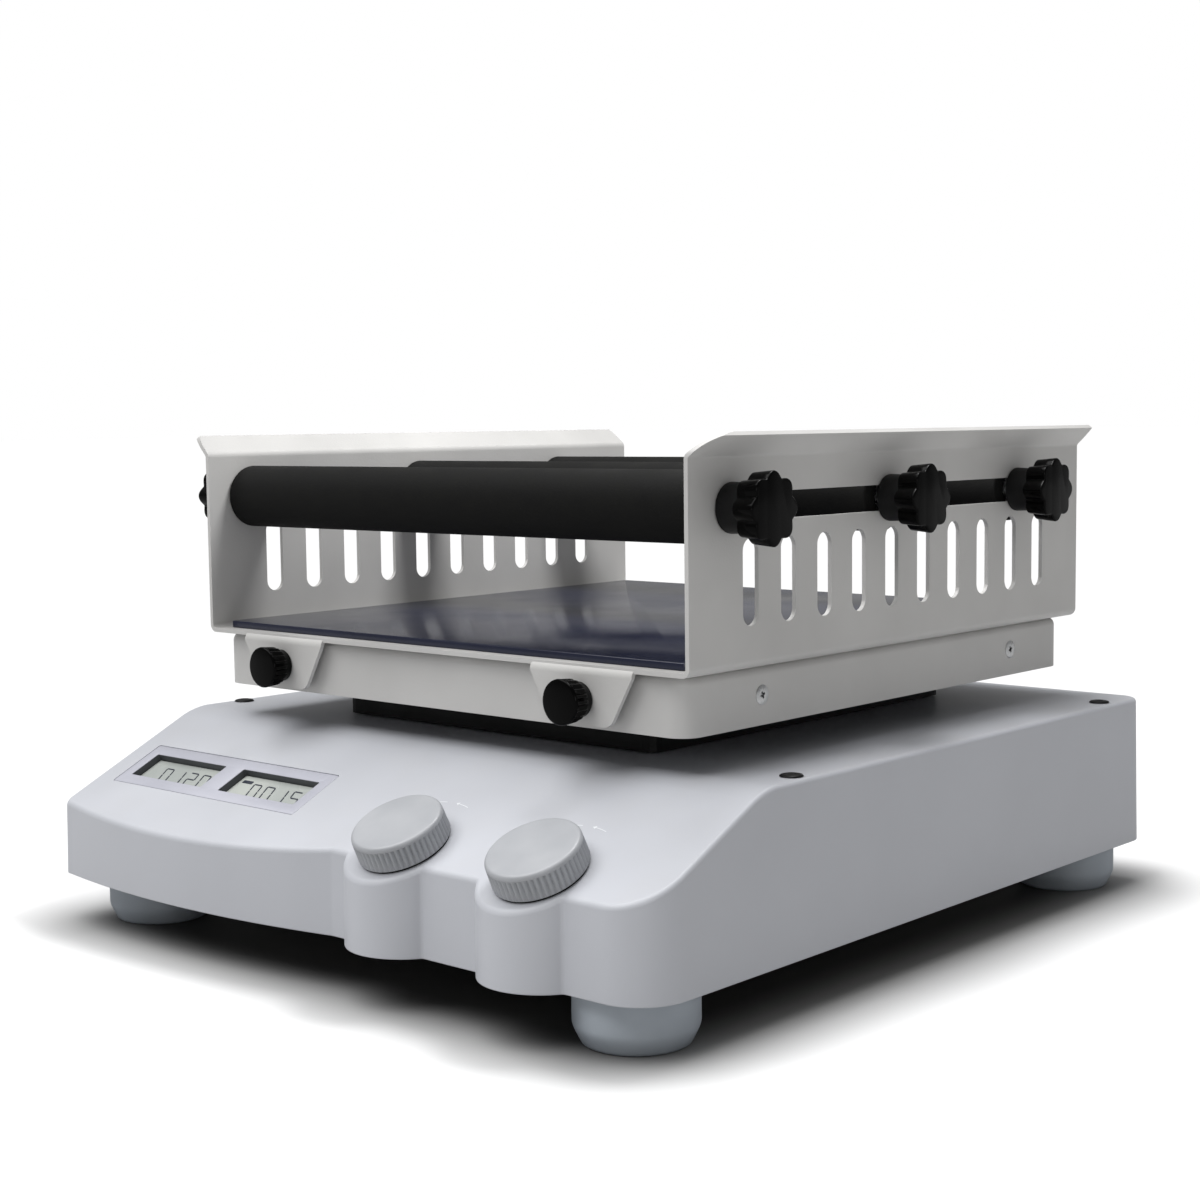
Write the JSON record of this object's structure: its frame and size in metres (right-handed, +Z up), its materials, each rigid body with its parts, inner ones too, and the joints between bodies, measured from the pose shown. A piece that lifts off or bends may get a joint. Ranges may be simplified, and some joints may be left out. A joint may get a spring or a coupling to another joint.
{
  "type": "orbital shaker",
  "caption": "Benchtop orbital shaker: sloped control panel with display and knobs, and a shaking platform with a slotted clamp frame whose foam rollers hold flasks.",
  "frame": {"origin": "centre of the footprint on the bench, halfway between the sides and between the front bosses and the rear wall", "axes": "+X to the user's right, +Y to the rear, so the control panel faces -Y, and +Z up"},
  "size_m": [0.371, 0.408, 0.2345],
  "materials": {
    "housing": "satin light grey enamel with a very fine texture",
    "coated": "semi-gloss light warm grey powder coat",
    "foot": "matte blue-grey rubber",
    "black_plastic": "moulded black plastic, semi-gloss",
    "foam": "matte closed-cell black foam sleeve",
    "knob": "light grey moulded plastic, finely ribbed skirt",
    "bezel": "smooth pale blue-grey plastic",
    "display": "grey-green reflective display behind a clear window",
    "mat": "glossy blue-black rubber sheet",
    "steel": "turned or plated steel",
    "aluminium": "plain machined aluminium",
    "board": "green circuit board"
  },
  "bodies": {
    "base": {"base_housing": "housing", "bottom_plate": "coated", "foot_front_left": "foot", "foot_front_right": "foot", "foot_rear_left": "foot", "foot_rear_right": "foot", "top_plug_front_left": "black_plastic", "top_plug_front_right": "black_plastic", "top_plug_rear_left": "black_plastic", "top_plug_rear_right": "black_plastic", "display_bezel": "bezel", "speed_display": "display", "time_display": "display", "control_board": "board", "speed_encoder": "steel", "time_encoder": "steel", "chassis_plate": "steel", "main_bearing": "aluminium", "drive_motor": "steel", "drive_belt": "black_plastic", "power_supply": "aluminium", "power_inlet": "black_plastic"},
    "crank": {"crank_shaft": "steel", "driven_pulley": "aluminium", "counterweight": "steel"},
    "platform": {"platform_carrier": "black_plastic", "platform_bearing": "steel", "cross_rail_front": "aluminium", "cross_rail_rear": "aluminium", "platform_tray": "coated", "tray_screw_front_left": "steel", "tray_screw_front_right": "steel", "tray_screw_rear_left": "steel", "tray_screw_rear_right": "steel", "clamp_frame": "coated", "platform_mat": "mat"},
    "motor_rotor": {"motor_pulley": "steel"},
    "mains_rocker": {"power_rocker": "black_plastic"},
    "idler_front_left": {"idler_crank_front_left": "steel"},
    "idler_front_right": {"idler_crank_front_right": "steel"},
    "idler_rear_left": {"idler_crank_rear_left": "steel"},
    "idler_rear_right": {"idler_crank_rear_right": "steel"},
    "speed_press": {"speed_spindle": "steel"},
    "speed_turn": {"speed_knob": "knob"},
    "time_press": {"time_spindle": "steel"},
    "time_turn": {"time_knob": "knob"},
    "roller_front": {"roller_rod_front": "steel", "roller_sleeve_front": "foam"},
    "star_front_left": {"star_knob_front_left": "black_plastic"},
    "star_front_right": {"star_knob_front_right": "black_plastic"},
    "roller_middle": {"roller_rod_middle": "steel", "roller_sleeve_middle": "foam"},
    "star_middle_left": {"star_knob_middle_left": "black_plastic"},
    "star_middle_right": {"star_knob_middle_right": "black_plastic"},
    "roller_rear": {"roller_rod_rear": "steel", "roller_sleeve_rear": "foam"},
    "star_rear_left": {"star_knob_rear_left": "black_plastic"},
    "star_rear_right": {"star_knob_rear_right": "black_plastic"},
    "thumb_left": {"thumb_screw_left": "black_plastic"},
    "thumb_right": {"thumb_screw_right": "black_plastic"}
  },
  "joints": [
    {"name": "drive_turn", "type": "hinge", "parent": "base", "child": "crank", "pos_m": [0, 0.0245, 0.1], "axis": [0, 0, 1], "continuous": true},
    {"name": "platform_orbit", "type": "hinge", "parent": "crank", "child": "platform", "pos_m": [0, 0.0295, 0.108], "axis": [0, 0, 1], "continuous": true},
    {"name": "idler_front_left_turn", "type": "hinge", "parent": "base", "child": "idler_front_left", "pos_m": [-0.072, -0.0575, 0.1], "axis": [0, 0, 1], "continuous": true},
    {"name": "idler_front_right_turn", "type": "hinge", "parent": "base", "child": "idler_front_right", "pos_m": [0.072, -0.0575, 0.1], "axis": [0, 0, 1], "continuous": true},
    {"name": "idler_rear_left_turn", "type": "hinge", "parent": "base", "child": "idler_rear_left", "pos_m": [-0.072, 0.1065, 0.1], "axis": [0, 0, 1], "continuous": true},
    {"name": "idler_rear_right_turn", "type": "hinge", "parent": "base", "child": "idler_rear_right", "pos_m": [0.072, 0.1065, 0.1], "axis": [0, 0, 1], "continuous": true},
    {"name": "motor_turn", "type": "hinge", "parent": "base", "child": "motor_rotor", "pos_m": [0, 0.1165, 0.042], "axis": [0, 0, 1], "continuous": true},
    {"name": "speed_knob_press", "type": "slide", "parent": "base", "child": "speed_press", "axis": [0, -0.4352, 0.9003], "range_m": [-0.0006, 0], "stiffness_N_per_m": 800, "springref_m": 0.0006},
    {"name": "speed_knob_turn", "type": "hinge", "parent": "speed_press", "child": "speed_turn", "pos_m": [0.0455, -0.18055, 0.06493], "axis": [0, -0.4352, 0.9003], "continuous": true},
    {"name": "time_knob_press", "type": "slide", "parent": "base", "child": "time_press", "axis": [0, -0.4352, 0.9003], "range_m": [-0.0006, 0], "stiffness_N_per_m": 800, "springref_m": 0.0006},
    {"name": "time_knob_turn", "type": "hinge", "parent": "time_press", "child": "time_turn", "pos_m": [0.1235, -0.18055, 0.06493], "axis": [0, -0.4352, 0.9003], "continuous": true},
    {"name": "roller_front_slide", "type": "slide", "parent": "platform", "child": "roller_front", "axis": [0, 1, 0], "range_m": [0, 0.045]},
    {"name": "star_front_left_turn", "type": "hinge", "parent": "roller_front", "child": "star_front_left", "pos_m": [-0.166, -0.1004, 0.2039], "axis": [1, 0, 0], "continuous": true},
    {"name": "star_front_right_turn", "type": "hinge", "parent": "roller_front", "child": "star_front_right", "pos_m": [0.166, -0.1004, 0.2039], "axis": [1, 0, 0], "continuous": true},
    {"name": "roller_middle_slide", "type": "slide", "parent": "platform", "child": "roller_middle", "axis": [0, 1, 0], "range_m": [-0.03, 0.03]},
    {"name": "star_middle_left_turn", "type": "hinge", "parent": "roller_middle", "child": "star_middle_left", "pos_m": [-0.166, 0.014, 0.2039], "axis": [1, 0, 0], "continuous": true},
    {"name": "star_middle_right_turn", "type": "hinge", "parent": "roller_middle", "child": "star_middle_right", "pos_m": [0.166, 0.014, 0.2039], "axis": [1, 0, 0], "continuous": true},
    {"name": "roller_rear_slide", "type": "slide", "parent": "platform", "child": "roller_rear", "axis": [0, 1, 0], "range_m": [-0.04, 0.035]},
    {"name": "star_rear_left_turn", "type": "hinge", "parent": "roller_rear", "child": "star_rear_left", "pos_m": [-0.166, 0.1247, 0.2039], "axis": [1, 0, 0], "continuous": true},
    {"name": "star_rear_right_turn", "type": "hinge", "parent": "roller_rear", "child": "star_rear_right", "pos_m": [0.166, 0.1247, 0.2039], "axis": [1, 0, 0], "continuous": true},
    {"name": "thumb_left_turn", "type": "hinge", "parent": "platform", "child": "thumb_left", "pos_m": [-0.0967, -0.13, 0.1246], "axis": [0, 1, 0], "continuous": true},
    {"name": "thumb_right_turn", "type": "hinge", "parent": "platform", "child": "thumb_right", "pos_m": [0.0967, -0.13, 0.1246], "axis": [0, 1, 0], "continuous": true},
    {"name": "mains_rocker_tip", "type": "hinge", "parent": "base", "child": "mains_rocker", "pos_m": [-0.075, 0.1975, 0.0615], "axis": [1, 0, 0], "range_deg": [-14, 0]}
  ],
  "couplings": [
    {"joint": "drive_turn", "follows": "platform_orbit", "ratio": -1},
    {"joint": "idler_front_left_turn", "follows": "platform_orbit", "ratio": -1},
    {"joint": "idler_front_right_turn", "follows": "platform_orbit", "ratio": -1},
    {"joint": "idler_rear_left_turn", "follows": "platform_orbit", "ratio": -1},
    {"joint": "idler_rear_right_turn", "follows": "platform_orbit", "ratio": -1},
    {"joint": "motor_turn", "follows": "platform_orbit", "ratio": -3.5}
  ]
}
